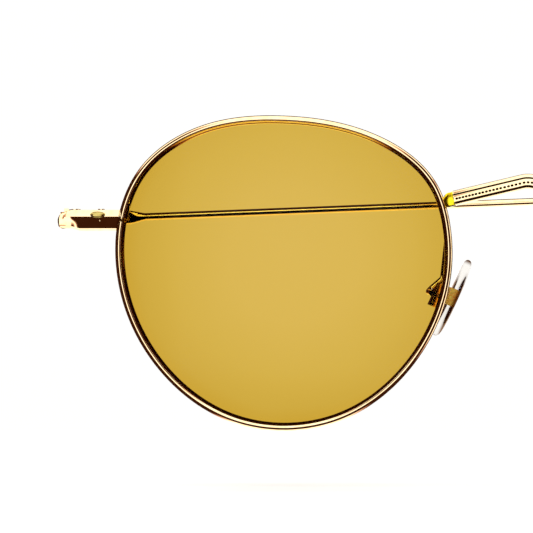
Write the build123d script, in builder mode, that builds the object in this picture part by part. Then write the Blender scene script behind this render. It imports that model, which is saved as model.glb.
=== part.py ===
from build123d import *
from math import cos, radians, sin
import os

# Round wire-rim sunglasses with folding temples, in millimetres.
# X runs across the front, Y goes back towards the wearer and Z is up.
# The origin is the nose seat, midway between the centres of the two nose pads.
# Right and left are the wearer's, so the right side has negative X.
# Everything on the front is made for the right side and mirrored for the left.
# The right temple is folded behind the lenses and the left temple is open.

# Front: lenses and eyewires lie on a sphere, the lens's base curve.
eye_x = 36.4             # half the distance between the two lens centres
eye_z = 3.8              # lens centre above the nose seat
front_y = -6.5           # foremost point of the lens front
base_radius = 100.0      # radius of the lens's front face
wrap_shift = 7.0         # the sphere's centre lies this much nearer the nose
lens_thick = 1.8
rim_width = 1.0          # eyewire, seen from the front
rim_depth = 2.2
rim_proud = 0.3          # eyewire in front of the lens
rim_round = 0.4
rim_back_round = 0.25
bevel_height = 0.4       # ridge on the lens edge that sits in the eyewire's groove
bevel_width = 0.6
lens_gap = 0.03
split_gap = 0.1          # cut through the eyewire between the closing blocks
braze_gap = 0.01         # film of solder between the eyewire and what is brazed to it

# Outer outline of an eyewire, from the lens centre: towards the nose, then up.
rim_outline = [
    (25.0, 0.0), (24.9, 6.7), (22.9, 13.2), (12.3, 21.3), (0.0, 23.6), (-12.7, 22.1),
    (-22.1, 15.5), (-25.4, 0.0), (-19.7, -13.8), (-8.2, -22.5), (8.1, -22.4), (19.5, -13.6),
]

# Bridge: an arched band, bowed forward, with a sunk channel along its face.
bridge_top_z = 17.65     # where the straight flanks would meet
bridge_knee = (7.6, 16.05)
bridge_foot = (12.6, 13.9)
bridge_height = 1.9
bridge_thick = 1.5
bridge_front_y = -6.1
bridge_bow_radius = 45.0
bridge_arch_radius = 6.0
channel_height = 0.9
channel_depth = 0.25
channel_end_x = 9.6

# End pieces: a flat bar from the eyewire outwards, wrapped back to the hinge.
bar_z = 11.55
bar_height = 2.7
bar_thick = 1.3
bar_front_y = -1.4
bar_outer_x = 70.65
bar_bend_radius = 2.6
bar_round = 0.45
bar_end_gap = 0.2        # the bar stops this far in front of the hinge axis
shoulder_height = 3.2    # the taller stretch beside the eyewire
shoulder_z = 11.65
shoulder_x = (60.0, 67.4)
boss_radius = 0.9
boss_proud = 0.4
boss_x = 64.5
boss_z = 11.75
boss_round = 0.3

# Closing blocks: the two barrels that pull the eyewire shut on the lens.
block_x = 64.1
block_y = 1.1
block_radius = 1.2
block_height = 1.2
closing_z = 11.68
closing_screw_radius = 0.5
closing_screw_end = 0.45    # screw end above the upper block

# Hinge: three knuckles on a screw. The temple swings about hinge_axis.
hinge_x = 68.1
hinge_y = 4.6
hinge_z = 11.95
knuckle_radius = 1.1
knuckle_height = 0.7
knuckle_gap = 0.06
knuckle_clear = knuckle_radius + 0.2
hinge_height = 3 * knuckle_height + 2 * knuckle_gap
leaf_thick = 0.5
leaf_length = 5.0
temple_leaf_start = 1.3  # plate of the temple's leaf, from the hinge axis
knuckle_web_end = 2.0    # web that joins the middle knuckle to its plate
leaf_sunk = 0.2          # the front leaf's plate reaches this far into the end piece before the cut
hinge_screw_radius = 0.5
running_gap = 0.05       # round a screw that a moving piece turns on
press_gap = 0.02         # round a screw or wire held fast
head_radius = 0.85
head_thick = 0.25
slot_width = 0.25

# Temples.
open_droop = 5.0         # degrees below the front's normal when open
open_lean = 1.0          # degrees towards the head when open
folded_rise = 2.25       # degrees up towards the nose when folded
folded_lean = 0.0        # degrees towards the lenses when folded
temples = {"right": (-1, "folded"), "left": (1, "open")}   # the side's sign along X, and its pose
leaf_out = 1.25          # the temple's inner face from the hinge axis
butt_thick = 1.2
butt_start = 0.15
butt_end = 8.4
butt_height = 2.5
butt_end_height = 2.0
neck_end = 10.6
butt_round = 0.3
wire_radius = 0.55
ear_bend_start = 93.0
ear_bend_radius = 25.0
ear_bend_angle = 40.0
ear_length = 34.5        # straight stretch behind the bend
tip_start = 72.0
tip_full = 90.0          # where the tip reaches its full size
tip_neck_radius = 0.95
tip_radius = 1.6
core_short = 12.0        # the wire stops this far inside the tip's end

# Nose pads, on a box at the end of a bent arm.
pad_x = 11.1
pad_slant = 24.6         # degrees from upright, top towards the nose
pad_splay = 8.0          # degrees open towards the back
pad_length = 12.4
pad_width = 7.0
pad_thick = 1.8
pad_round = 0.8
core_size = (3.0, 2.6, 1.4)
core_back = 1.0          # back of the core behind the pad's middle
pivot_back = 2.1         # rocking screw behind the pad's middle
pivot_drop = 0.7         # and this far down the pad
lug_thick = 0.9
lug_radius = 0.55
cheek_gap = 0.1
cheek_thick = 0.35
cheek_out = lug_thick / 2 + cheek_gap + cheek_thick   # outer face of a cheek
box_length = 3.6
box_front = 0.65         # cheek edges and base, from the rocking screw
box_base = 0.3
pad_screw_radius = 0.4
pad_head_radius = 0.62
pad_head_thick = 0.3
pad_slot_width = 0.2
arm_radius = 0.45
arm_sunk = 0.315         # the arm's middle behind the box's base
arm_foot = (11.85, 9.4)  # where the arm meets the back of the eyewire, X and Z
arm_foot_y = -3.3        # just inside the eyewire's back wall
arm_back_y = 3.0
arm_knee_out = 0.75      # the knee is this much further from the nose than the foot
arm_knee_z = 2.9
arm_hold = 0.7           # the arm's end in front of the box's middle


def finish(piece, name):
    piece.part.label = name
    export_step(piece.part, f"parts/{name}.step")


def finish_pair(piece, name):
    """Write the right-hand piece and its mirror image."""
    finish(piece, f"{name}_right")
    with BuildPart() as mirrored:
        mirror(piece.part, about=Plane.YZ)
    finish(mirrored, f"{name}_left")


def grown_outline(grow):
    """The right eyewire's outline in X and Z, moved outwards by grow."""
    outline = Spline(*rim_outline, periodic=True)
    points = []
    for point in rim_outline:
        along = outline.tangent_at(outline.param_at_point(point))
        grown = Vector(*point) + Vector(along.Y, -along.X) * grow
        points.append((grown.X - eye_x, grown.Y + eye_z))
    return points


def lens_space(grow, front, back):
    """The inside of the outline grown by grow, between two depths behind the lens front."""
    outline = grown_outline(grow)
    with BuildPart() as space:
        with BuildSketch(Plane.XZ.offset(4 - front_y)):
            with BuildLine():
                Spline(*outline, periodic=True)
            make_face()
        extrude(amount=-20)
        with Locations((wrap_shift - eye_x, front_y + base_radius, eye_z)):
            Sphere(base_radius - front, mode=Mode.INTERSECT)
            Sphere(base_radius - back, mode=Mode.SUBTRACT)
    return space.part


def groove_space(gap):
    """The ridge on the lens edge, grown by gap."""
    half = bevel_width / 2 + gap
    return lens_space(bevel_height + gap - rim_width, lens_thick / 2 - half, lens_thick / 2 + half)


def through_space():
    """Everything inside the eyewire's outer wall, well in front of it and behind it."""
    return lens_space(braze_gap, -3, 8)


def make_rim():
    blank = lens_space(0, -rim_proud, rim_depth - rim_proud)
    sight = lens_space(-rim_width, -2, 4)
    groove = groove_space(lens_gap)
    with BuildPart() as rim:
        add(blank)
        add(sight, mode=Mode.SUBTRACT)
        front_wall = rim.faces().filter_by(GeomType.SPHERE).sort_by(Axis.Y)[0]
        fillet(front_wall.edges(), rim_round)
        back_wall = rim.faces().filter_by(GeomType.SPHERE).sort_by(Axis.Y)[-1]
        fillet(back_wall.edges(), rim_back_round)
        add(groove, mode=Mode.SUBTRACT)
        with Locations((-eye_x - 25, 0, closing_z)):
            Box(8, 12, split_gap, mode=Mode.SUBTRACT)
    finish_pair(rim, "rim")
    return rim.part


def make_lens():
    blank = lens_space(-rim_width - lens_gap, 0, lens_thick)
    ridge = groove_space(0)
    with BuildPart() as lens:
        add(blank)
        add(ridge)
    finish_pair(lens, "lens")


def arch_band(height, front, back):
    """The bridge's arch seen from the front, bowed forward, between two depths behind its face."""
    knee_x, knee_z = bridge_knee
    foot_x, foot_z = bridge_foot
    arch = [(-foot_x, foot_z), (-knee_x, knee_z), (0, bridge_top_z), (knee_x, knee_z), (foot_x, foot_z)]
    with BuildPart() as band:
        with BuildSketch(Plane.XZ.offset(10)):
            with BuildLine() as arch_line:
                FilletPolyline(*arch, radius=bridge_arch_radius)
            trace(arch_line.line, height)
        extrude(amount=-12)
        with BuildSketch(Plane.XY):
            with Locations((0, bridge_front_y + bridge_bow_radius)):
                Circle(bridge_bow_radius - front)
                Circle(bridge_bow_radius - back, mode=Mode.SUBTRACT)
        extrude(amount=25, mode=Mode.INTERSECT)
    return band.part


def make_bridge():
    band = arch_band(bridge_height, 0, bridge_thick)
    channel_band = arch_band(channel_height, -1, channel_depth)
    rim_space = through_space()
    with BuildPart() as channel:
        add(channel_band)
        with Locations((0, 0, bridge_top_z)):
            Box(2 * channel_end_x, 30, 20, mode=Mode.INTERSECT)
    with BuildPart() as bridge:
        add(band)
        add(channel.part, mode=Mode.SUBTRACT)
        add(rim_space, mode=Mode.SUBTRACT)
        mirror(rim_space, about=Plane.YZ, mode=Mode.SUBTRACT)
    finish(bridge, "bridge")


def make_end_piece():
    middle_y = bar_front_y + bar_thick / 2
    outer_x = -bar_outer_x + bar_thick / 2
    inner_x, shoulder_end_x = shoulder_x
    rim_space = through_space()
    with BuildPart() as piece:
        with BuildLine(Plane.XY.offset(bar_z)) as route:
            FilletPolyline(
                (-inner_x, middle_y), (outer_x, middle_y), (outer_x, hinge_y - bar_end_gap),
                radius=bar_bend_radius - bar_thick / 2,
            )
        with BuildSketch(Plane(origin=route.line @ 0, x_dir=(0, 1, 0), z_dir=(-1, 0, 0))):
            RectangleRounded(bar_thick, bar_height, bar_round)
        sweep(path=route.line)
        with BuildSketch(Plane(origin=(-inner_x, middle_y, shoulder_z), x_dir=(0, 1, 0), z_dir=(-1, 0, 0))):
            RectangleRounded(bar_thick, shoulder_height, bar_round)
        extrude(amount=shoulder_end_x - inner_x)
        with BuildSketch(Plane.XZ.offset(-middle_y)):
            with Locations((-boss_x, boss_z)):
                Circle(boss_radius)
        extrude(amount=bar_thick / 2 + boss_proud)
        boss_face = piece.faces().sort_by(Axis.Y)[0]
        fillet(boss_face.edges(), boss_round)
        add(rim_space, mode=Mode.SUBTRACT)
    finish_pair(piece, "end_piece")
    return piece.part


def make_closing_blocks():
    """Two barrels brazed to the eyewire's cut ends, and the upright screw that joins them."""
    rim_space = through_space()
    floors = {"upper": closing_z + split_gap / 2, "lower": closing_z - split_gap / 2 - block_height}
    for level, floor in floors.items():
        with BuildPart() as block:
            with BuildSketch(Plane.XY.offset(floor)):
                with Locations((-block_x, block_y)):
                    Circle(block_radius)
                with Locations((2 - block_x, block_y)):
                    Rectangle(4, 2 * block_radius)
                with Locations((-block_x, block_y)):
                    Circle(closing_screw_radius + press_gap, mode=Mode.SUBTRACT)
            extrude(amount=block_height)
            with Locations((-block_x, bar_front_y + bar_thick - 2, closing_z)):
                Box(20, 4, 10, mode=Mode.SUBTRACT)
            add(rim_space, mode=Mode.SUBTRACT)
        finish_pair(block, f"closing_block_{level}")

    bottom = floors["lower"] - 0.01
    top = floors["upper"] + block_height + closing_screw_end
    with BuildPart() as screw:
        with BuildSketch(Plane.XY.offset(bottom)):
            with Locations((-block_x, block_y)):
                Circle(closing_screw_radius)
        extrude(amount=top - bottom)
        with BuildSketch(Plane.XY.offset(bottom)):
            with Locations((-block_x, block_y)):
                Circle(head_radius)
        extrude(amount=-head_thick)
        with Locations((-block_x, block_y, bottom - head_thick)):
            Box(slot_width, 3, head_thick, mode=Mode.SUBTRACT)
    finish_pair(screw, "closing_screw")


def temple_direction(side, pose):
    """The temple's unit direction when open or folded."""
    if pose == "open":
        droop = radians(open_droop)
        lean = radians(open_lean)
        return Vector(-side * sin(lean) * cos(droop), cos(lean) * cos(droop), -sin(droop))
    rise = radians(folded_rise)
    lean = radians(folded_lean)
    return Vector(-side * cos(lean) * cos(rise), -sin(lean) * cos(rise), sin(rise))


def hinge_axis(side):
    """Upward unit vector square to the open and the folded temple."""
    across = temple_direction(side, "open").cross(temple_direction(side, "folded"))
    return (across * side).normalized()


def hinge_plane(side, pose):
    """Square to the hinge: local X runs along the temple, local Z is the hinge axis."""
    centre = (side * hinge_x, hinge_y, hinge_z)
    return Plane(origin=centre, x_dir=temple_direction(side, pose), z_dir=hinge_axis(side))


def make_front_leaf(end_piece):
    """The end piece's leaf: the outer two knuckles on a plate. Local Y points outwards."""
    seat = hinge_plane(-1, "open")
    with BuildPart() as leaf:
        with BuildSketch(seat.offset(-hinge_height / 2)):
            Circle(knuckle_radius)
            with Locations(((leaf_length + leaf_sunk) / -2, leaf_out + (leaf_sunk - leaf_thick) / 2)):
                Rectangle(leaf_length, leaf_thick + leaf_sunk)
            with Locations((-knuckle_radius / 2, leaf_out / 2)):
                Rectangle(knuckle_radius, leaf_out)
            Circle(hinge_screw_radius + press_gap, mode=Mode.SUBTRACT)
        extrude(amount=hinge_height)
        with BuildSketch(seat.offset(-knuckle_height / 2 - knuckle_gap)):
            Circle(knuckle_clear)
            with Locations((knuckle_clear, 0)):
                Rectangle(2 * knuckle_clear, 4)
        extrude(amount=knuckle_height + 2 * knuckle_gap, mode=Mode.SUBTRACT)
        add(end_piece, mode=Mode.SUBTRACT)
    finish_pair(leaf, "hinge_front_leaf")


def make_hinge_screw():
    seat = hinge_plane(-1, "open")
    with BuildPart() as screw:
        with BuildSketch(seat.offset(-hinge_height / 2 - 0.1)):
            Circle(hinge_screw_radius)
        extrude(amount=hinge_height + 0.11)
        with BuildSketch(seat.offset(hinge_height / 2 + 0.01)):
            Circle(head_radius)
        extrude(amount=head_thick)
        with BuildSketch(seat.offset(hinge_height / 2 + 0.01 + head_thick)):
            Rectangle(slot_width, 3)
        extrude(amount=-head_thick / 2, mode=Mode.SUBTRACT)
    finish_pair(screw, "hinge_screw")


def make_temple_leaf(name, side, pose):
    """The temple's leaf: the middle knuckle on a plate."""
    seat = hinge_plane(side, pose)
    with BuildPart() as leaf:
        with BuildSketch(seat.offset(-hinge_height / 2)):
            with Locations((temple_leaf_start + leaf_length / 2, -side * (leaf_out - leaf_thick / 2))):
                Rectangle(leaf_length, leaf_thick)
        extrude(amount=hinge_height)
        with BuildSketch(seat.offset(-knuckle_height / 2)):
            Circle(knuckle_radius)
            with Locations(((butt_start + knuckle_web_end) / 2, -side * (leaf_out + press_gap) / 2)):
                Rectangle(knuckle_web_end - butt_start, leaf_out - press_gap)
        extrude(amount=knuckle_height)
        with BuildSketch(seat.offset(-knuckle_height / 2)):
            Circle(hinge_screw_radius + running_gap)
        extrude(amount=knuckle_height, mode=Mode.SUBTRACT)
    finish(leaf, f"hinge_temple_leaf_{name}")


def temple_plane(side, pose):
    """The temple's own plane: local X along it, local Y up the hinge axis, through the wire."""
    direction = temple_direction(side, pose)
    across = direction.cross(hinge_axis(side))
    centre = Vector(side * hinge_x, hinge_y, hinge_z) + across * (side * (leaf_out + butt_thick / 2))
    return Plane(origin=centre, x_dir=direction, z_dir=across)


def temple_route(start, stop_short):
    """Straight along the head, round the ear bend and down behind the ear."""
    straight = Line((start, 0), (ear_bend_start, 0))
    bend = JernArc(straight @ 1, (1, 0), ear_bend_radius, -ear_bend_angle)
    Line(bend @ 1, (bend @ 1) + (bend % 1) * (ear_length - stop_short))


def make_temple(name, side, pose):
    """A flat butt that narrows to the round wire."""
    seat = temple_plane(side, pose)
    stations = [
        Plane(origin=seat.from_local_coords((at, 0, 0)), x_dir=seat.y_dir, z_dir=seat.x_dir)
        for at in (butt_start, butt_end, neck_end)
    ]
    with BuildPart() as temple:
        with BuildSketch(stations[0]):
            RectangleRounded(butt_height, butt_thick, butt_round)
        with BuildSketch(stations[1]):
            RectangleRounded(butt_end_height, butt_thick, butt_round)
        loft()
        with BuildSketch(stations[1]):
            RectangleRounded(butt_end_height, butt_thick, butt_round)
        with BuildSketch(stations[2]):
            Circle(wire_radius)
        loft()
        with BuildLine(seat) as route:
            temple_route(neck_end, core_short)
        with BuildSketch(stations[2]):
            Circle(wire_radius)
        sweep(path=route.line)
    finish(temple, f"temple_{name}")


def make_temple_tip(name, side, pose):
    """Sleeve over the wire: slim at the front, round and full behind the ear."""
    seat = temple_plane(side, pose)
    with BuildPart() as tip:
        with BuildSketch(seat):
            with BuildLine():
                Polyline((tip_start, 0), (tip_start, tip_neck_radius), (tip_full, tip_radius), (tip_full, 0))
                Line((tip_full, 0), (tip_start, 0))
            make_face()
        revolve(axis=Axis(seat.origin, seat.x_dir))
        with BuildLine(seat) as route:
            temple_route(tip_full, tip_radius)
        with BuildSketch(Plane(origin=route.line @ 0, z_dir=route.line % 0)):
            Circle(tip_radius)
        sweep(path=route.line)
        end_plane = Plane(origin=route.line @ 1, x_dir=route.line % 1, z_dir=seat.z_dir)
        with BuildSketch(end_plane):
            with BuildLine():
                CenterArc((0, 0), tip_radius, 0, 90)
                Polyline((0, tip_radius), (0, 0), (tip_radius, 0))
            make_face()
        revolve(axis=Axis(end_plane.origin, end_plane.x_dir))
        with BuildLine(seat) as bore:
            temple_route(tip_start - 1, core_short)
        with BuildSketch(Plane(origin=bore.line @ 0, z_dir=bore.line % 0)):
            Circle(wire_radius + press_gap)
        sweep(path=bore.line, mode=Mode.SUBTRACT)
    finish(tip, f"temple_tip_{name}")


def pad_plane():
    """The nose pad's middle plane: local X goes back, local Y up the pad, local Z to the nose."""
    slant = radians(pad_slant)
    splay = radians(pad_splay)
    flat_normal = Vector(cos(slant), 0, -sin(slant))
    back = Vector(0, 1, 0)
    normal = flat_normal * cos(splay) + back * sin(splay)
    across = back * cos(splay) - flat_normal * sin(splay)
    return Plane(origin=(-pad_x, 0, 0), x_dir=across, z_dir=normal)


def pivot_plane():
    """Parallel to the pad's middle plane, through the rocking screw."""
    pad = pad_plane()
    origin = pad.origin - pad.z_dir * pivot_back - pad.y_dir * pivot_drop
    return Plane(origin=origin, x_dir=pad.x_dir, z_dir=pad.z_dir)


def make_pad_box():
    """A small cup that holds the pad's lug between two cheeks."""
    pivot = pivot_plane()
    with BuildPart() as box:
        with BuildSketch(pivot.offset(-box_front - box_base)):
            Rectangle(2 * cheek_out, box_length)
        extrude(amount=2 * box_front + box_base)
        with BuildSketch(pivot.offset(-box_front)):
            Rectangle(lug_thick + 2 * cheek_gap, box_length + 1)
        extrude(amount=2 * box_front + 1, mode=Mode.SUBTRACT)
        with BuildSketch(Plane(origin=pivot.origin, x_dir=pivot.y_dir, z_dir=pivot.x_dir)):
            Circle(pad_screw_radius + press_gap)
        extrude(amount=2 * cheek_out, both=True, mode=Mode.SUBTRACT)
    finish_pair(box, "pad_box")
    return box.part


def make_pad_arm(rim, box):
    """Bent wire from the back of the eyewire, back and down, and forward under the box."""
    pivot = pivot_plane()
    seat = pivot.origin - pivot.z_dir * (box_front + box_base + arm_sunk)
    seat_end = seat - pivot.x_dir * arm_hold
    foot_x, foot_z = arm_foot
    foot = Vector(-foot_x, arm_foot_y, foot_z)
    shoulder = Vector(-foot_x - 0.1, arm_back_y - 0.4, foot_z - 0.4)
    knee = Vector(-foot_x - arm_knee_out, arm_back_y + 0.1, arm_knee_z)
    heel = seat + pivot.x_dir * (arm_back_y - seat.Y)
    with BuildPart() as arm:
        with BuildLine() as route:
            FilletPolyline(foot, shoulder, knee, heel, seat_end, radius=[1.6, 1.0, 0.8])
        with BuildSketch(Plane(origin=route.line @ 0, z_dir=route.line % 0)):
            Circle(arm_radius)
        sweep(path=route.line)
        add(rim, mode=Mode.SUBTRACT)
        add(box, mode=Mode.SUBTRACT)
    finish_pair(arm, "pad_arm")


def make_pad_screw():
    pivot = pivot_plane()
    back = pivot.x_dir
    head_seat = pivot.origin + back * (cheek_out + 0.01)
    with BuildPart() as screw:
        with BuildSketch(Plane(origin=pivot.origin - back * cheek_out, z_dir=back)):
            Circle(pad_screw_radius)
        extrude(amount=2 * cheek_out + 0.01)
        with BuildSketch(Plane(origin=head_seat, z_dir=back)):
            Circle(pad_head_radius)
        extrude(amount=pad_head_thick)
        with BuildSketch(Plane(origin=head_seat + back * pad_head_thick, z_dir=back)):
            Rectangle(pad_slot_width, 2)
        extrude(amount=-pad_head_thick / 2, mode=Mode.SUBTRACT)
    finish_pair(screw, "pad_screw")


def make_pad_core():
    """Metal insert of the pad, with the lug that rocks on the pad screw."""
    pad = pad_plane()
    pivot = pivot_plane()
    width, height, depth = core_size
    lug_reach = pivot_back - core_back + 0.1
    with BuildPart() as core:
        with BuildSketch(pad.offset(-core_back)):
            RectangleRounded(width, height, 0.3)
        extrude(amount=depth)
        lug_origin = pivot.origin - pivot.x_dir * (lug_thick / 2)
        with BuildSketch(Plane(origin=lug_origin, x_dir=pivot.y_dir, z_dir=pivot.x_dir)):
            Circle(lug_radius)
            with Locations((0, lug_reach / 2)):
                Rectangle(2 * lug_radius, lug_reach)
            Circle(pad_screw_radius + running_gap, mode=Mode.SUBTRACT)
        extrude(amount=lug_thick)
    finish_pair(core, "pad_core")
    return core.part


def make_nose_pad(core):
    with BuildPart() as pad:
        with BuildSketch(pad_plane().offset(-pad_thick / 2)):
            Ellipse(pad_width / 2, pad_length / 2)
        extrude(amount=pad_thick)
        fillet(pad.edges(), pad_round)
        add(core, mode=Mode.SUBTRACT)
    finish_pair(pad, "nose_pad")


os.makedirs("parts", exist_ok=True)
rim_part = make_rim()
make_lens()
make_bridge()
end_part = make_end_piece()
make_closing_blocks()
make_front_leaf(end_part)
make_hinge_screw()
for temple_name, (temple_side, temple_pose) in temples.items():
    make_temple_leaf(temple_name, temple_side, temple_pose)
    make_temple(temple_name, temple_side, temple_pose)
    make_temple_tip(temple_name, temple_side, temple_pose)
box_part = make_pad_box()
make_pad_arm(rim_part, box_part)
make_pad_screw()
core_part = make_pad_core()
make_nose_pad(core_part)
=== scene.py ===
import math

import bmesh
import bpy
import numpy as np
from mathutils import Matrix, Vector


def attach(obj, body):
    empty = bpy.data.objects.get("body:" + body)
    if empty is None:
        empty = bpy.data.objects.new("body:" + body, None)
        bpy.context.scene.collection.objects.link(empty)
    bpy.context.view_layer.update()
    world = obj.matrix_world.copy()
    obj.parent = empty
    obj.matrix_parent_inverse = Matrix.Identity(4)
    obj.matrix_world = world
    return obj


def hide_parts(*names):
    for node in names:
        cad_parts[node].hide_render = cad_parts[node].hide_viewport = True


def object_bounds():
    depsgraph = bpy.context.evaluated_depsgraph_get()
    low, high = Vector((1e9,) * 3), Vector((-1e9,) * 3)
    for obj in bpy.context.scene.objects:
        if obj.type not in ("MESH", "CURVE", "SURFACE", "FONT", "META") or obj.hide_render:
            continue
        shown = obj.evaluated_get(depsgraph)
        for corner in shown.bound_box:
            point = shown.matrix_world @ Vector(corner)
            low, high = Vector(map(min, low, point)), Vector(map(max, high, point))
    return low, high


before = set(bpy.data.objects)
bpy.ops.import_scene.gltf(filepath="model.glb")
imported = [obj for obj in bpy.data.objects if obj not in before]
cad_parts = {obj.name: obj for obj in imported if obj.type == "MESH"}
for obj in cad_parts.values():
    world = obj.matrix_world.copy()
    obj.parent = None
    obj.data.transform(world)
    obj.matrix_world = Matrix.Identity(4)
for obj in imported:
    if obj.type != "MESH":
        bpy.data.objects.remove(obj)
cad_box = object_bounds()
MM = 0.001

# The middle of a nose pad, and how far its top leans towards the nose.
PAD_X = 11.3
PAD_SLANT = math.radians(25.0)


# ---------------------------------------------------------------- node helpers
class Nodes:
    """Short calls for building a node tree."""

    def __init__(self, tree):
        self.tree = tree

    def feed(self, node, inputs):
        """Sets a node's inputs: a socket is linked, anything else is its value."""
        for key, value in inputs.items():
            socket = node.inputs[key]
            if isinstance(value, bpy.types.NodeSocket):
                self.tree.links.new(value, socket)
            else:
                socket.default_value = value

    def add(self, kind, inputs=None, **settings):
        node = self.tree.nodes.new(kind)
        for key, value in settings.items():
            setattr(node, key, value)
        self.feed(node, inputs or {})
        return node

    def math(self, operation, a, b=0.0):
        return self.add("ShaderNodeMath", {0: a, 1: b}, operation=operation).outputs[0]

    def split(self, vector):
        parts = self.add("ShaderNodeSeparateXYZ", {"Vector": vector})
        return [parts.outputs[i] for i in range(3)]

    def mix(self, factor, a, b):
        return self.add("ShaderNodeMix", {0: factor, 2: a, 3: b}, data_type="FLOAT").outputs[0]

    def mix_colour(self, factor, a, b):
        inputs = {"Fac": factor, "Color1": a, "Color2": b}
        return self.add("ShaderNodeMixRGB", inputs).outputs[0]

    def ramp(self, factor, stops):
        node = self.add("ShaderNodeValToRGB", {"Fac": factor})
        ends = node.color_ramp.elements
        while len(ends) < len(stops):
            ends.new(0.5)
        for element, (place, colour) in zip(ends, stops):
            element.position = place
            element.color = (*colour, 1.0)
        return node.outputs["Color"]

    def level(self, value, low, high, to_low=0.0, to_high=1.0):
        """Turns low to high into to_low to to_high, and holds those outside."""
        inputs = {
            "Value": value, "From Min": low, "From Max": high, "To Min": to_low, "To Max": to_high,
        }
        return self.add("ShaderNodeMapRange", inputs).outputs["Result"]

    def falling(self, value, low, high):
        return self.level(value, low, high, 1.0, 0.0)

    def band(self, value, start, end):
        """One between the two soft limits, and nothing outside them."""
        return self.math("MULTIPLY", self.level(value, *start), self.falling(value, *end))

    def noise(self, vector, scale, detail, roughness=0.5, output="Fac"):
        inputs = {"Vector": vector, "Scale": scale, "Detail": detail, "Roughness": roughness}
        return self.add("ShaderNodeTexNoise", inputs).outputs[output]


# ---------------------------------------------------------------- materials
def new_material(name):
    material = bpy.data.materials.new(name)
    material.use_nodes = True
    material.node_tree.nodes.clear()
    nodes = Nodes(material.node_tree)
    shader = nodes.add("ShaderNodeBsdfPrincipled")
    nodes.add("ShaderNodeOutputMaterial", {"Surface": shader.outputs[0]})
    place = nodes.add("ShaderNodeTexCoord").outputs["Object"]
    return material, nodes, shader, place


def gold_material(name, base, deep, roughness, metal=1.0, grain=900.0):
    """Polished plating: fine buffing marks, small tone changes and dulled patches."""
    material, nodes, shader, place = new_material(name)
    colour = nodes.ramp(nodes.noise(place, grain, 4.0), [(0.3, deep), (0.7, base)])
    patch = nodes.noise(place, 260.0, 5.0, 0.6)
    rough = nodes.level(patch, 0.35, 0.75, roughness * 0.75, roughness * 1.5)
    buffed = nodes.add("ShaderNodeMapping", {"Vector": place, "Scale": (1.0, 14.0, 14.0)})
    marks = nodes.noise(buffed.outputs[0], 2600.0, 2.0)
    bump = nodes.add("ShaderNodeBump", {"Height": marks, "Strength": 0.04, "Distance": 0.00002})
    nodes.feed(
        shader,
        {"Base Color": colour, "Metallic": metal, "Roughness": rough, "Normal": bump.outputs[0]},
    )
    return material


def lens_material():
    """Amber tint, a little deeper towards the edge and the foot of the lens."""
    tint_x, tint_z = 0.0354, 0.0065
    ramp_per_metre = 33.0
    drift_reach = 0.003
    material, nodes, shader, place = new_material("lens_amber")
    x, _, z = nodes.split(place)
    across = nodes.math("SUBTRACT", nodes.math("ABSOLUTE", x), tint_x)
    rise = nodes.math("SUBTRACT", z, tint_z)
    squares = [nodes.math("MULTIPLY", part, part) for part in (across, rise)]
    reach = nodes.math("SQRT", nodes.math("ADD", *squares))
    drift = nodes.math("SUBTRACT", nodes.noise(place, 60.0, 2.0), 0.5)
    reach = nodes.math("ADD", reach, nodes.math("MULTIPLY", drift, drift_reach))
    colour = nodes.ramp(
        nodes.math("MULTIPLY", reach, ramp_per_metre),
        [
            (0.0, (0.697, 0.472, 0.092)),
            (0.33, (0.690, 0.465, 0.086)),
            (0.60, (0.652, 0.435, 0.066)),
            (0.76, (0.618, 0.402, 0.054)),
            (0.88, (0.585, 0.352, 0.030)),
        ],
    )
    nodes.feed(
        shader, {"Base Color": colour, "Transmission Weight": 1.0, "Roughness": 0.0, "IOR": 1.12}
    )
    return material


def silicone_material():
    """Clear silicone, with the frame's reflections painted dark brown along its nose edge and at
    its top.
    """
    edge_depth, edge_top = (0.00020, 0.00050), (0.0024, 0.0044)
    tip_height = (0.0054, 0.0060)
    painted_reflection_brown = (0.10, 0.035, 0.012, 1.0)
    material, nodes, shader, place = new_material("pad_silicone")
    cloud = nodes.noise(place, 500.0, 3.0)
    clear = nodes.ramp(cloud, [(0.3, (0.95, 0.91, 0.85)), (0.7, (0.99, 0.97, 0.94))])
    # out from the pad's middle, then turned to depth towards the nose and height up the pad
    x, _, z = nodes.split(place)
    out = nodes.math("SUBTRACT", nodes.math("ABSOLUTE", x), PAD_X * MM)
    depth = nodes.math(
        "SUBTRACT",
        nodes.math("MULTIPLY", out, -math.cos(PAD_SLANT)),
        nodes.math("MULTIPLY", z, math.sin(PAD_SLANT)),
    )
    height = nodes.math(
        "SUBTRACT",
        nodes.math("MULTIPLY", z, math.cos(PAD_SLANT)),
        nodes.math("MULTIPLY", out, math.sin(PAD_SLANT)),
    )
    edge = nodes.math(
        "MULTIPLY", nodes.level(depth, *edge_depth), nodes.falling(height, *edge_top)
    )
    # painted reflection: this mask turns the nose edge and the top of the pad dark brown
    shade = nodes.math("MAXIMUM", edge, nodes.level(height, *tip_height))
    nodes.feed(
        shader,
        {
            "Base Color": nodes.mix_colour(shade, clear, painted_reflection_brown),
            "Roughness": nodes.level(cloud, 0.3, 0.7, 0.03, 0.08),
            "Transmission Weight": 1.0,
            "IOR": 1.1,
        },
    )
    return material


def acetate_material():
    """Tortoise acetate: brown clouds in a honey base under a polished skin."""
    material, nodes, shader, place = new_material("tip_tortoise")
    warp = nodes.noise(place, 120.0, 2.0, output="Color")
    cloud = nodes.noise(nodes.mix_colour(0.006, place, warp), 210.0, 3.0, 0.55)
    colour = nodes.ramp(
        cloud,
        [(0.38, (0.030, 0.010, 0.004)), (0.5, (0.14, 0.045, 0.010)), (0.62, (0.46, 0.19, 0.04))],
    )
    nodes.feed(
        shader,
        {
            "Base Color": colour, "Roughness": 0.16, "IOR": 1.49,
            "Coat Weight": 0.3, "Coat Roughness": 0.05,
        },
    )
    return material


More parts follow.
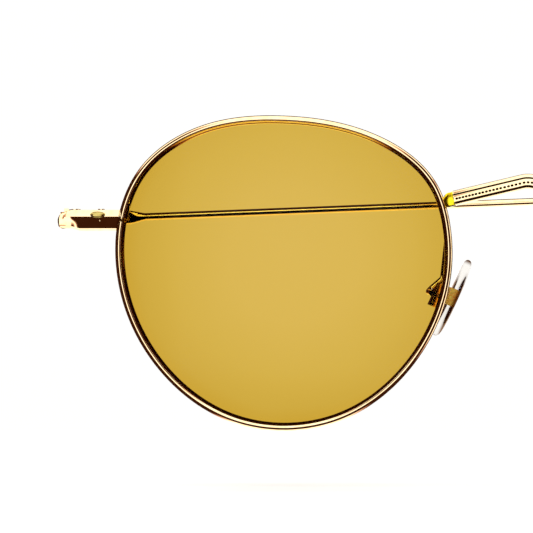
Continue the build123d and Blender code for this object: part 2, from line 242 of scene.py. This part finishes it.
gold = gold_material("gold_polished", (0.98, 0.80, 0.50), (0.90, 0.68, 0.36), 0.06)
gold_rich = gold_material("gold_solder", (0.82, 0.72, 0.02), (0.64, 0.52, 0.015), 0.16)
# painted shade: dark brown in place of the shade in the bridge's sunk lines and on its dots
painted_shade = gold_material("gold_painted_shade", (0.030, 0.010, 0.003), (0.014, 0.004, 0.001), 0.5)
gold_core = gold_material(
    "gold_core", (1.0, 0.85, 0.14), (0.95, 0.36, 0.02), 0.45, metal=0.05, grain=3000.0
)
gold_boss = gold_material("gold_boss", (0.66, 0.56, 0.20), (0.40, 0.30, 0.08), 0.16)
screw = gold_material("screw_gilt", (0.95, 0.84, 0.62), (0.80, 0.66, 0.42), 0.20)
amber = lens_material()
silicone = silicone_material()
tortoise = acetate_material()

looks = {
    "lens": amber,
    "nose_pad": silicone,
    "pad_core": gold_core,
    "temple_tip": tortoise,
    "closing_screw": screw,
    "hinge_screw": screw,
    "pad_screw": screw,
}
for node_name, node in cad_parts.items():
    kind = node_name.rsplit("_", 1)[0]
    node.data.materials.clear()
    node.data.materials.append(looks.get(kind, gold))


# ---------------------------------------------------------------- shape helpers
# Shapes are in millimetres in the row frame. What comes in pairs is given for the right side,
# and both_sides mirrors it.
def unit(vectors):
    return vectors / np.linalg.norm(vectors, axis=1)[:, None]


def lengths_along(points):
    """How far along an open line each of its points is."""
    return np.concatenate([[0], np.cumsum(np.linalg.norm(np.diff(points, axis=0), axis=1))])


def spaced(points, at):
    """The points of an open line at the given lengths along it."""
    along = lengths_along(points)
    return np.column_stack([np.interp(at, along, column) for column in points.T])


def closed_spline(points, count):
    """A smooth closed curve through the points, evenly spaced."""
    steps = 60
    p = np.array(points, float)
    n = len(p)
    h = np.linalg.norm(np.roll(p, -1, 0) - p, axis=1)
    system, right = np.zeros((n, n)), np.zeros((n, 2))
    for i in range(n):
        before, after = h[i - 1], h[i]
        system[i, i - 1] += before
        system[i, i] += 2 * (before + after)
        system[i, (i + 1) % n] += after
        right[i] = 6 * ((p[(i + 1) % n] - p[i]) / after - (p[i] - p[i - 1]) / before)
    bend = np.linalg.solve(system, right)
    fine = []
    for i in range(n):
        j = (i + 1) % n
        for t in np.linspace(0, h[i], steps, endpoint=False):
            u = h[i] - t
            fine.append(
                (bend[i] * u**3 + bend[j] * t**3) / (6 * h[i])
                + (p[i] / h[i] - bend[i] * h[i] / 6) * u
                + (p[j] / h[i] - bend[j] * h[i] / 6) * t
            )
    fine = np.array(fine + [fine[0]])
    return spaced(fine, np.linspace(0, lengths_along(fine)[-1], count, endpoint=False))


def filleted(points, radius, step):
    """An open polyline with round corners, as evenly spaced points."""
    corner_points = 24
    p = [np.array(q, float) for q in points]
    out = [p[0]]
    for a, b, c in zip(p, p[1:], p[2:]):
        into, away = (b - a) / np.linalg.norm(b - a), (c - b) / np.linalg.norm(c - b)
        turn = math.acos(np.clip(into @ away, -1, 1))
        reach = radius * math.tan(turn / 2)
        inwards = away - into
        centre = b + inwards / np.linalg.norm(inwards) * radius / math.cos(turn / 2)
        start, end = b - into * reach, b + away * reach
        for t in np.linspace(0, 1, corner_points):
            mix = (start - centre) * math.sin((1 - t) * turn) + (end - centre) * math.sin(t * turn)
            out.append(centre + mix / math.sin(turn))
    out = np.array(out + [p[-1]])
    length = lengths_along(out)[-1]
    return spaced(out, np.linspace(0, length, max(int(length / step), 2) + 1))


def arc(centre, radii, angles):
    """Points on an ellipse in a section, at angles in radians."""
    return [
        (centre[0] + radii[0] * math.cos(a), centre[1] + radii[1] * math.sin(a)) for a in angles
    ]


def part_way(value, start, width):
    """How far a value has come from start to start + width, from 0 to 1."""
    return np.clip((value - start) / width, 0, 1)


def make_piece(name, verts, faces, materials, body, replaced=(), marks=None, sharp=35):
    """A mesh piece that rides on a CAD body, with sharp edges from an angle in degrees up.

    marks gives each face's place in materials.
    """
    mesh = bpy.data.meshes.new(name)
    mesh.from_pydata([tuple(float(c) * MM for c in v) for v in verts], [], faces)
    for material in materials:
        mesh.materials.append(material)
    form = bmesh.new()
    form.from_mesh(mesh)
    bmesh.ops.recalc_face_normals(form, faces=form.faces)
    form.to_mesh(mesh)
    form.free()
    if marks is not None:
        mesh.polygons.foreach_set("material_index", marks)
    mesh.polygons.foreach_set("use_smooth", [True] * len(mesh.polygons))
    mesh.set_sharp_from_angle(angle=math.radians(sharp))
    piece = bpy.data.objects.new(name, mesh)
    bpy.context.scene.collection.objects.link(piece)
    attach(piece, body)
    if replaced:
        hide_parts(*replaced)
    return piece


def skin(rings, caps=True):
    """Faces between rings of points, strip by strip, and then the two ends."""
    count, size = len(rings), len(rings[0])
    verts = [v for ring in rings for v in ring]
    faces = []
    for i in range(count - 1):
        for k in range(size):
            m = (k + 1) % size
            faces.append((i * size + k, i * size + m, (i + 1) * size + m, (i + 1) * size + k))
    if caps:
        faces.append(tuple(range(size)))
        faces.append(tuple((count - 1) * size + k for k in reversed(range(size))))
    return verts, faces


def fan(first, count, pole):
    """Faces from a ring of count points, which starts at first, to one point."""
    return [(first + k, first + (k + 1) % count, pole) for k in range(count)]


def dome(centre, axes, size, rings=6, segments=20):
    """A low dome on a flat foot: half sizes across, up and out along its axes."""
    across, up, out = axes
    rows = []
    for a in range(rings):
        lift = math.radians(90 * a / rings)
        row = []
        for k in range(segments):
            turn = 2 * math.pi * k / segments
            row.append(
                centre
                + across * (size[0] * math.cos(lift) * math.cos(turn))
                + up * (size[1] * math.cos(lift) * math.sin(turn))
                + out * (size[2] * math.sin(lift))
            )
        rows.append(row)
    verts, faces = skin(rows, caps=False)
    faces += fan((rings - 1) * segments, segments, len(verts))
    faces.append(tuple(reversed(range(segments))))
    verts.append(centre + out * size[2])
    return verts, faces


def both_sides(rings):
    """The right-hand rings, and their mirror images for the left."""
    flip = np.array([-1.0, 1.0, 1.0])
    return {"right": rings, "left": [[np.array(v) * flip for v in ring] for ring in rings]}


# ---------------------------------------------------------------- eyewires
# A crowned wire with a lens groove, whose depth follows the lens's own normal. The outline is
# about the middle of the eye, and the section is (outward, forward) from the lens's edge line.
EYE_X, EYE_Z = 36.4, 3.8
SPHERE = np.array([-29.4, 93.5, 3.8])
SPHERE_R = 100.0
RIM_OUTLINE = [
    (25.0, 0.0), (24.9, 6.7), (22.9, 13.2), (12.3, 21.3), (0.0, 23.6), (-12.7, 22.1),
    (-22.1, 15.5), (-25.4, 0.0), (-19.7, -13.8), (-8.2, -22.5), (8.1, -22.4), (19.5, -13.6),
]
RIM_COUNT = 720
CLOSING_Z = 11.68
CROWN = (-0.62, -0.2)
RIM_SECTION = (
    arc(CROWN, (0.62, 0.5), np.linspace(0, math.pi / 2, 12))
    + arc(CROWN, (0.36, 0.5), np.linspace(math.pi / 2, math.pi, 11)[1:])
    + [(-0.98, -0.57), (-0.57, -0.60), (-0.57, -1.20), (-0.98, -1.23)]
    + arc((-0.83, -1.65), (0.15, 0.15), np.radians(np.linspace(180, 270, 5)))
    + arc((-0.2, -1.60), (0.2, 0.2), np.radians(np.linspace(270, 360, 6)))
)


def edge_line():
    """The lens's edge on its sphere, once round from the closing block's level."""
    outline = closed_spline(RIM_OUTLINE, RIM_COUNT)
    temple_side = [i for i in range(RIM_COUNT) if outline[i][0] <= 0]
    cut_at = min(temple_side, key=lambda i: abs(outline[i][1] + EYE_Z - CLOSING_Z))
    outline = np.roll(outline, -cut_at, 0)
    x, z = outline[:, 0] - EYE_X, outline[:, 1] + EYE_Z
    y = SPHERE[1] - np.sqrt(SPHERE_R**2 - (x - SPHERE[0]) ** 2 - (z - SPHERE[2]) ** 2)
    return np.column_stack([x, y, z])


def make_eyewires(edge):
    forward = (edge - SPHERE) / SPHERE_R
    along = unit(np.roll(edge, -1, 0) - np.roll(edge, 1, 0))
    outward = np.cross(along, forward)
    from_middle = edge - np.array([-EYE_X, 0, EYE_Z])
    outward *= np.sign((from_middle * outward).sum(1))[:, None]
    # two places are left out at the cut, so the wire is open at the closing block
    rings = [
        [edge[i] + outward[i] * b + forward[i] * d for b, d in RIM_SECTION]
        for i in range(1, RIM_COUNT - 1)
    ]
    for side, side_rings in both_sides(rings).items():
        verts, faces = skin(side_rings)
        make_piece(
            f"eyewire_{side}", verts, faces, [gold], "front", [f"rim_{side}"]
        )


# ---------------------------------------------------------------- bridge
# Rails and canted bands between sunk lines, with a row of milled dots. Towards both ends the
# section turns plain, and it draws in where it is soldered to the eyewire. The section is
# (forward, up) from the bridge's line: SUNK are its points in the cut lines, and what lies
# deeper than FACE_DEPTH isn't part of its face. Limits are distances from the middle.
BRIDGE = [(-12.6, 14.42), (-0.4, 17.30), (0.4, 17.30), (12.6, 14.42)]
BRIDGE_Y = -6.1
BOW_R = 62.0
BRIDGE_SECTION = [
    (-1.45, 1.20), (-0.95, 1.30), (-0.62, 1.30), (-0.46, 1.27), (-0.36, 1.18), (-0.27, 1.02),
    (-0.21, 0.88), (-0.20, 0.82), (-0.34, 0.80), (-0.34, 0.57), (-0.16, 0.55), (-0.13, 0.50),
    (-0.08, 0.40), (-0.05, 0.24), (-0.03, 0.14), (-0.01, 0.0), (0.0, -0.16), (0.01, -0.30),
    (0.0, -0.40), (-0.02, -0.45), (-0.22, -0.47), (-0.22, -0.73), (-0.03, -0.75), (0.0, -0.79),
    (-0.04, -0.84), (-0.14, -0.90), (-0.32, -0.95), (-0.60, -0.97), (-1.05, -0.97), (-1.45, -0.90),
]
SUNK = {7, 8, 9, 19, 20, 21}
FACE_DEPTH = -0.5
PLAIN_FROM, PLAIN_OVER = 11.0, 0.25
SUNK_TO, SOLDER_FROM = 11.05, 11.1
DRAWN_FROM, DRAWN_OVER = 11.75, 0.85
DRAWN_BACK, DRAWN_THIN = 0.10, 0.45
DOT_SIZE = (0.245, 0.20, 0.06)
DOT_SEAT = -0.03
DOTS_REACH = 11.0
DOT_PITCH, DOT_CLOSING = 0.62, 0.0125


def plain_section():
    """The bridge's section at its ends: the same points on one softly crowned face."""
    crown, flat_to, fall_off, cant = 0.06, 0.25, 0.30, 0.06
    foot_stretch, top_height, foot_height = 1.06, 0.92, 1.08
    section = []
    for d, u in BRIDGE_SECTION:
        v = u / (1.0 if u > 0 else foot_stretch)
        face = crown - fall_off * max(0.0, abs(v) - flat_to) ** 2 - cant * u
        depth = d if d < FACE_DEPTH else min(face, crown)
        section.append((depth, top_height * v if u > 0 else foot_height * v))
    return section


def bridge_line():
    """The bridge's points, and its directions along, up and forward at each."""
    x, z = filleted(BRIDGE, radius=2.2, step=0.05).T
    points = np.column_stack([x, BRIDGE_Y + BOW_R - np.sqrt(BOW_R**2 - x**2), z])
    forward = np.column_stack([x / BOW_R, -np.sqrt(1 - (x / BOW_R) ** 2), np.zeros(len(x))])
    along = unit(np.gradient(points, axis=0))
    up = np.cross(along, forward)
    up *= np.sign(up[:, 2])[:, None]
    return points, along, up, forward


def make_bridge(points, up, forward):
    plain = plain_section()
    rings = []
    for point, rise, front in zip(points, up, forward):
        t = part_way(abs(point[0]), PLAIN_FROM, PLAIN_OVER)
        t = t * t * (3 - 2 * t)
        drawn = part_way(abs(point[0]), DRAWN_FROM, DRAWN_OVER) ** 2
        ring = []
        for (d0, u0), (d1, u1) in zip(BRIDGE_SECTION, plain):
            d, u = d0 + (d1 - d0) * t, (u0 + (u1 - u0) * t) * (1 - DRAWN_THIN * drawn)
            ring.append(point + front * (d - DRAWN_BACK * drawn) + rise * u)
        rings.append(ring)
    verts, faces = skin(rings)
    # faces in the sunk lines take the painted shade
    marks = []
    for point in points[:-1]:
        for k in range(len(BRIDGE_SECTION)):
            if abs(point[0]) > SOLDER_FROM:
                marks.append(2)
            else:
                marks.append(1 if k in SUNK and abs(point[0]) < SUNK_TO else 0)
    marks += [0, 0]
    make_piece(
        "bridge_band", verts, faces, [gold, painted_shade, gold_rich], "front", ["bridge"],
        marks,
    )


def make_bridge_dots(points, along, up, forward):
    """Dots from the middle outwards, a little closer together towards the ends."""
    lengths = lengths_along(points)
    places, reach = [0.0], 0.0
    while reach < DOTS_REACH:
        reach += DOT_PITCH - DOT_CLOSING * reach
        places += [reach, -reach]
    verts, faces = [], []
    for place in places:
        i = int(np.searchsorted(lengths, lengths[-1] / 2 + place))
        seat = points[i] + forward[i] * DOT_SEAT
        axes = (along[i], up[i], forward[i])
        dot_verts, dot_faces = dome(seat, axes, DOT_SIZE, rings=4, segments=12)
        faces += [tuple(len(verts) + k for k in face) for face in dot_faces]
        verts += dot_verts
    # the dots are painted dark brown as shade
    make_piece("bridge_dots", verts, faces, [painted_shade], "front", sharp=80)


# ---------------------------------------------------------------- end pieces
# A bar with a wide top chamfer, from the eyewire outwards and round to the hinge. Its section,
# (outward from the plan line, up), changes to a smaller one towards the tip, from TIP_FROM at
# mid height, sooner below it and later above it. The plan line is (x, y).
BAR = [
    (-1.30, 1.36), (-0.62, 1.60), (-0.50, 1.585), (-0.44, 1.53), (-0.30, 1.24), (-0.14, 0.92),
    (-0.04, 0.70), (0.0, 0.60), (-0.107, 0.20), (-0.241, -0.30), (-0.475, -1.18), (-0.54, -1.24),
    (-0.63, -1.32), (-0.75, -1.42), (-0.88, -1.51), (-1.02, -1.56), (-1.30, -1.52),
]
BAR_TIP = [
    (-1.30, 1.20), (-0.80, 1.28), (-0.66, 1.25), (-0.56, 1.16), (-0.38, 0.94), (-0.24, 0.72),
    (-0.16, 0.56), (-0.13, 0.50), (-0.02, 0.16), (-0.03, -0.26), (-0.13, -0.80), (-0.21, -0.90),
    (-0.31, -1.00), (-0.44, -1.10), (-0.60, -1.18), (-0.80, -1.22), (-1.30, -1.18),
]
BAR_Z = 11.62
BAR_PLAN = [(-61.0, -1.4), (-69.4, -1.4), (-70.42, -1.23), (-70.65, -0.95), (-70.65, 4.35)]
TIP_FROM, TIP_OVER = 68.3, 1.3
TIP_LEAN, TIP_LEAN_LOW, TIP_LEAN_HIGH = 0.8, -1.3, 0.4
BAR_OUTSIDE = np.array([-0.5, -1.0])
RIM_SIDE_X = -50
RIM_BITE = 0.01
BOSS_PLACE, BOSS_SIZE = (64.6, -1.28, 12.5), (1.15, 0.52, 0.30)
BOSS_TILT = math.radians(27)
RIVET_PLACE, RIVET_SIZE = (64.3, -1.24, 11.6), (0.13, 0.13, 0.09)


def make_end_bars(edge):
    outer_run = filleted(BAR_PLAN[:3], radius=2.0, step=0.12)
    turn_back = filleted(BAR_PLAN[2:], radius=0.2, step=0.06)
    plan = np.vstack([outer_run[:-1], turn_back])
    along = unit(np.gradient(plan, axis=0))
    outward = np.column_stack([along[:, 1], -along[:, 0]])
    outward *= np.where(outward @ BAR_OUTSIDE > 0, 1, -1)[:, None]
    # the eyewire's temple side, from the bottom up, where the bar's first ring meets it
    rim_side = edge[edge[:, 0] < RIM_SIDE_X]
    rim_side = rim_side[np.argsort(rim_side[:, 2])]
    rings = []
    for i, (plan_x, plan_y) in enumerate(plan):
        ring = []
        for (n0, u0), (n1, u1) in zip(BAR, BAR_TIP):
            lean = TIP_LEAN * np.clip(u0, TIP_LEAN_LOW, TIP_LEAN_HIGH)
            tip = part_way(abs(plan_x) - TIP_FROM, lean, TIP_OVER)
            n, z = n0 + (n1 - n0) * tip, BAR_Z + (u0 + (u1 - u0) * tip)
            x, y = plan_x + outward[i][0] * n, plan_y + outward[i][1] * n
            if i == 0:
                x = np.interp(z, rim_side[:, 2], rim_side[:, 0]) - RIM_BITE
            ring.append(np.array([x, y, z]))
        rings.append(ring)
    for side, side_rings in both_sides(rings).items():
        verts, faces = skin(side_rings)
        make_piece(
            f"end_bar_{side}", verts, faces, [gold], "front",
            [f"end_piece_{side}"], sharp=13,
        )


def make_end_details():
    """A low boss on each bar's top chamfer, and the end of a rivet on its face."""
    rise, run = math.sin(BOSS_TILT), math.cos(BOSS_TILT)
    boss_axes = np.array([[1.0, 0, 0], [0, rise, run], [0, -run, rise]])
    rivet_axes = np.array([[1.0, 0, 0], [0, 0, 1.0], [0, -1.0, 0]])
    for side, sign in (("right", -1.0), ("left", 1.0)):
        flip = np.array([sign, 1.0, 1.0])
        verts, faces = dome(np.array(BOSS_PLACE) * flip, boss_axes, BOSS_SIZE)
        make_piece(
            f"end_boss_{side}", verts, faces, [gold_boss], "front", sharp=80
        )
        verts, faces = dome(np.array(RIVET_PLACE) * flip, rivet_axes, RIVET_SIZE)
        make_piece(f"end_rivet_{side}", verts, faces, [gold], "front", sharp=80)


# ---------------------------------------------------------------- nose pads
# Clear silicone, softly crowned. The profile is (part of the half width, towards the nose), from
# the middle of the outer face round the edge to the middle of the nose face.
PAD_SPLAY = math.radians(5.5)
PAD_WIDE, PAD_TALL = 3.15, 6.25
PAD_NARROWING = 0.12
PAD_SEGMENTS = 64
PAD_PROFILE = [(0.0, -0.70), (0.45, -0.69), (0.80, -0.66)]
PAD_PROFILE += [
    (0.88 + 0.12 * math.sin(math.radians(a)), -0.60 * math.cos(math.radians(a)))
    for a in range(20, 180, 16)
]
PAD_PROFILE += [(0.80, 0.66), (0.45, 0.71), (0.0, 0.73)]


def make_pads():
    slant_cos, slant_sin = math.cos(PAD_SLANT), math.sin(PAD_SLANT)
    splay_cos, splay_sin = math.cos(PAD_SPLAY), math.sin(PAD_SPLAY)
    normal = np.array([slant_cos * splay_cos, splay_sin, -slant_sin * splay_cos])
    back = np.array([-slant_cos * splay_sin, splay_cos, slant_sin * splay_sin])
    up = np.cross(normal, back)
    up *= np.sign(up[2])
    middle = np.array([-PAD_X, 0.0, 0.0])
    rings = []
    for rho, w in PAD_PROFILE[1:-1]:
        ring = []
        for k in range(PAD_SEGMENTS):
            t = 2 * math.pi * k / PAD_SEGMENTS
            wide = PAD_WIDE * (1 - PAD_NARROWING * math.sin(t))
            across = back * (wide * rho * math.cos(t))
            ring.append(middle + across + up * (PAD_TALL * rho * math.sin(t)) + normal * w)
        rings.append(ring)
    poles = [[middle + normal * PAD_PROFILE[end][1]] for end in (0, -1)]
    side_poles = both_sides(poles)
    for side, side_rings in both_sides(rings).items():
        verts, faces = skin(side_rings, caps=False)
        for first, (pole,) in zip((0, (len(rings) - 1) * PAD_SEGMENTS), side_poles[side]):
            faces += fan(first, PAD_SEGMENTS, len(verts))
            verts.append(pole)
        pad = make_piece(
            f"pad_{side}", verts, faces, [silicone], f"nose_pad_{side}",
            [f"nose_pad_{side}"], sharp=80,
        )


lens_edge = edge_line()
make_eyewires(lens_edge)
bridge_points, bridge_along, bridge_up, bridge_forward = bridge_line()
make_bridge(bridge_points, bridge_up, bridge_forward)
make_bridge_dots(bridge_points, bridge_along, bridge_up, bridge_forward)
make_end_bars(lens_edge)
make_end_details()
make_pads()


# ---------------------------------------------------------------- light
# Soft panels, as limits on the direction: across and upward are places on a plane one unit in
# front of the glasses, and rise is 1 straight over the front-back axis and -1 straight under it.
BOX_ACROSS = ((-0.60, -0.50), (0.26, 0.38))
BOX_UPWARD = ((-0.42, -0.32), (0.9, 1.2))
OVER_RISE, OVER_FROM_Y, OVER_TO_Y = (0.80, 0.92), (-0.95, -0.90), (0.15, 0.30)
CREST_X, CREST_RISE, CREST_FROM_Y = (0.78, 0.88), (0.50, 0.60), (-0.36, -0.24)
UNDER_RISE, UNDER_FROM_Y = (-0.93, -0.86), (-0.28, -0.14)
WALL_FROM_Y = (0.965, 0.985)
STRIP_UPWARD = ((0.28, 0.36), (0.85, 1.0))
GLOW_FROM_Y = (0.10, 0.35)
DARK_STRENGTH, PANEL_STRENGTH = 0.045, 1.7
SEEN_STRENGTH, DIFFUSE_STRENGTH = 1.03, 1.5
STRIP_STRENGTH, GLOW_STRENGTH = 6.0, 1.3
GAP_TONE, PANEL_TONE = (1.0, 0.27, 0.11), (1.0, 0.99, 0.97)
STRIP_TONE = (0.5, 1.0, 9.0, 1.0)


def make_light():
    world = bpy.data.worlds.new("studio")
    bpy.context.scene.world = world
    world.use_nodes = True
    world.node_tree.nodes.clear()
    nodes = Nodes(world.node_tree)
    x, y, z = nodes.split(nodes.add("ShaderNodeTexCoord").outputs["Generated"])
    # 1.0001 and 0.05 keep the divisors above zero
    round_y = nodes.math("SQRT", nodes.math("SUBTRACT", 1.0001, nodes.math("MULTIPLY", y, y)))
    rise = nodes.math("DIVIDE", z, round_y)
    ahead = nodes.math("MAXIMUM", nodes.math("MULTIPLY", y, -1.0), 0.05)
    across = nodes.math("DIVIDE", x, ahead)
    upward = nodes.math("DIVIDE", z, ahead)

    # the big soft source in front
    box = nodes.math("MULTIPLY", nodes.band(across, *BOX_ACROSS), nodes.band(upward, *BOX_UPWARD))
    # the panel over the glasses, which is wider behind their front and reaches down at one side
    over = nodes.math("MULTIPLY", nodes.level(rise, *OVER_RISE), nodes.level(y, *OVER_FROM_Y))
    crest = nodes.math("MAXIMUM", nodes.level(x, *CREST_X), nodes.level(rise, *CREST_RISE))
    crest = nodes.math("MULTIPLY", crest, nodes.level(y, *CREST_FROM_Y))
    over = nodes.math(
        "MULTIPLY", nodes.math("MAXIMUM", over, crest), nodes.falling(y, *OVER_TO_Y)
    )
    # the panel under them, the pale wall behind, and what only the parts behind a lens mirror
    low_down = nodes.falling(rise, *UNDER_RISE)
    under = nodes.math("MULTIPLY", low_down, nodes.level(y, *UNDER_FROM_Y))
    wall = nodes.level(y, *WALL_FROM_Y)
    strip = nodes.band(upward, *STRIP_UPWARD)
    glow = nodes.math("MULTIPLY", low_down, nodes.level(y, *GLOW_FROM_Y))

    # each way through a lens adds 2 to a ray's transmission depth
    ray = nodes.add("ShaderNodeLightPath").outputs
    in_air = nodes.math("LESS_THAN", ray["Transmission Depth"], 1.5)
    was_mirrored = nodes.math("GREATER_THAN", ray["Glossy Depth"], 0.5)
    behind_lens = nodes.math(
        "MULTIPLY", nodes.math("GREATER_THAN", ray["Transmission Depth"], 3.5), was_mirrored
    )
    panels = nodes.math(
        "MAXIMUM",
        nodes.math("MAXIMUM", box, nodes.math("MULTIPLY", over, in_air)),
        nodes.math("MAXIMUM", under, wall),
    )

    # what is seen directly or through a lens is plain; mirror images see the panels
    plain = nodes.mix(ray["Is Diffuse Ray"], SEEN_STRENGTH, DIFFUSE_STRENGTH)
    mirrored = nodes.level(panels, 0.0, 1.0, DARK_STRENGTH, PANEL_STRENGTH)
    mirrored_behind = nodes.math(
        "MAXIMUM",
        nodes.math("MULTIPLY", strip, STRIP_STRENGTH),
        nodes.math("MULTIPLY", glow, GLOW_STRENGTH),
    )
    strength = nodes.mix(was_mirrored, plain, mirrored)
    strength = nodes.mix(behind_lens, strength, mirrored_behind)
    # the gaps between panels are brown; the strip is blue, so that it comes out pale through amber
    lit = nodes.math("MAXIMUM", panels, nodes.math("SUBTRACT", 1.0, was_mirrored))
    tone = nodes.ramp(lit, [(0.0, GAP_TONE), (1.0, PANEL_TONE)])
    tone = nodes.mix_colour(nodes.math("MULTIPLY", behind_lens, strip), tone, STRIP_TONE)
    background = nodes.add("ShaderNodeBackground", {"Color": tone, "Strength": strength})
    nodes.add("ShaderNodeOutputWorld", {"Surface": background.outputs[0]})


make_light()


# ---------------------------------------------------------------- floor
FLOOR_RADIUS = 0.42
FLOOR_GAP = 0.0002


def make_floor():
    mesh = bpy.data.meshes.new("floor")
    form = bmesh.new()
    bmesh.ops.create_circle(form, cap_ends=True, segments=96, radius=FLOOR_RADIUS)
    form.to_mesh(mesh)
    form.free()
    material, nodes, shader, _ = new_material("floor_white")
    nodes.feed(shader, {"Base Color": (0.93, 0.93, 0.925, 1.0), "Roughness": 0.7})
    mesh.materials.append(material)
    low, high = cad_box
    floor = bpy.data.objects.new("floor", mesh)
    floor.location = ((low.x + high.x) / 2, (low.y + high.y) / 2, low.z - FLOOR_GAP)
    bpy.context.scene.collection.objects.link(floor)
    floor.visible_glossy = False
    floor.visible_transmission = False


make_floor()


# ---------------------------------------------------------------- camera
# Square to the front, in metres. VIEW_WIDTH is what the camera takes in at the eyewires, which
# are FRONT_DEPTH in front of the origin.
VIEW_WIDTH = 79.95 * MM
VIEW_X, VIEW_Z = -39.2 * MM, 4.7 * MM
CAMERA_DISTANCE = 1.4
FRONT_DEPTH = 0.0055
SENSOR_WIDTH = 36.0


def make_camera():
    data = bpy.data.cameras.new("camera")
    data.sensor_width = SENSOR_WIDTH
    data.lens = SENSOR_WIDTH * (CAMERA_DISTANCE - FRONT_DEPTH) / VIEW_WIDTH
    data.clip_end = 20.0
    camera = bpy.data.objects.new("camera", data)
    camera.location = (VIEW_X, -CAMERA_DISTANCE, VIEW_Z)
    camera.rotation_euler = (math.radians(90), 0, 0)
    bpy.context.scene.collection.objects.link(camera)
    bpy.context.scene.camera = camera
    bpy.context.scene.view_settings.view_transform = "Standard"


make_camera()
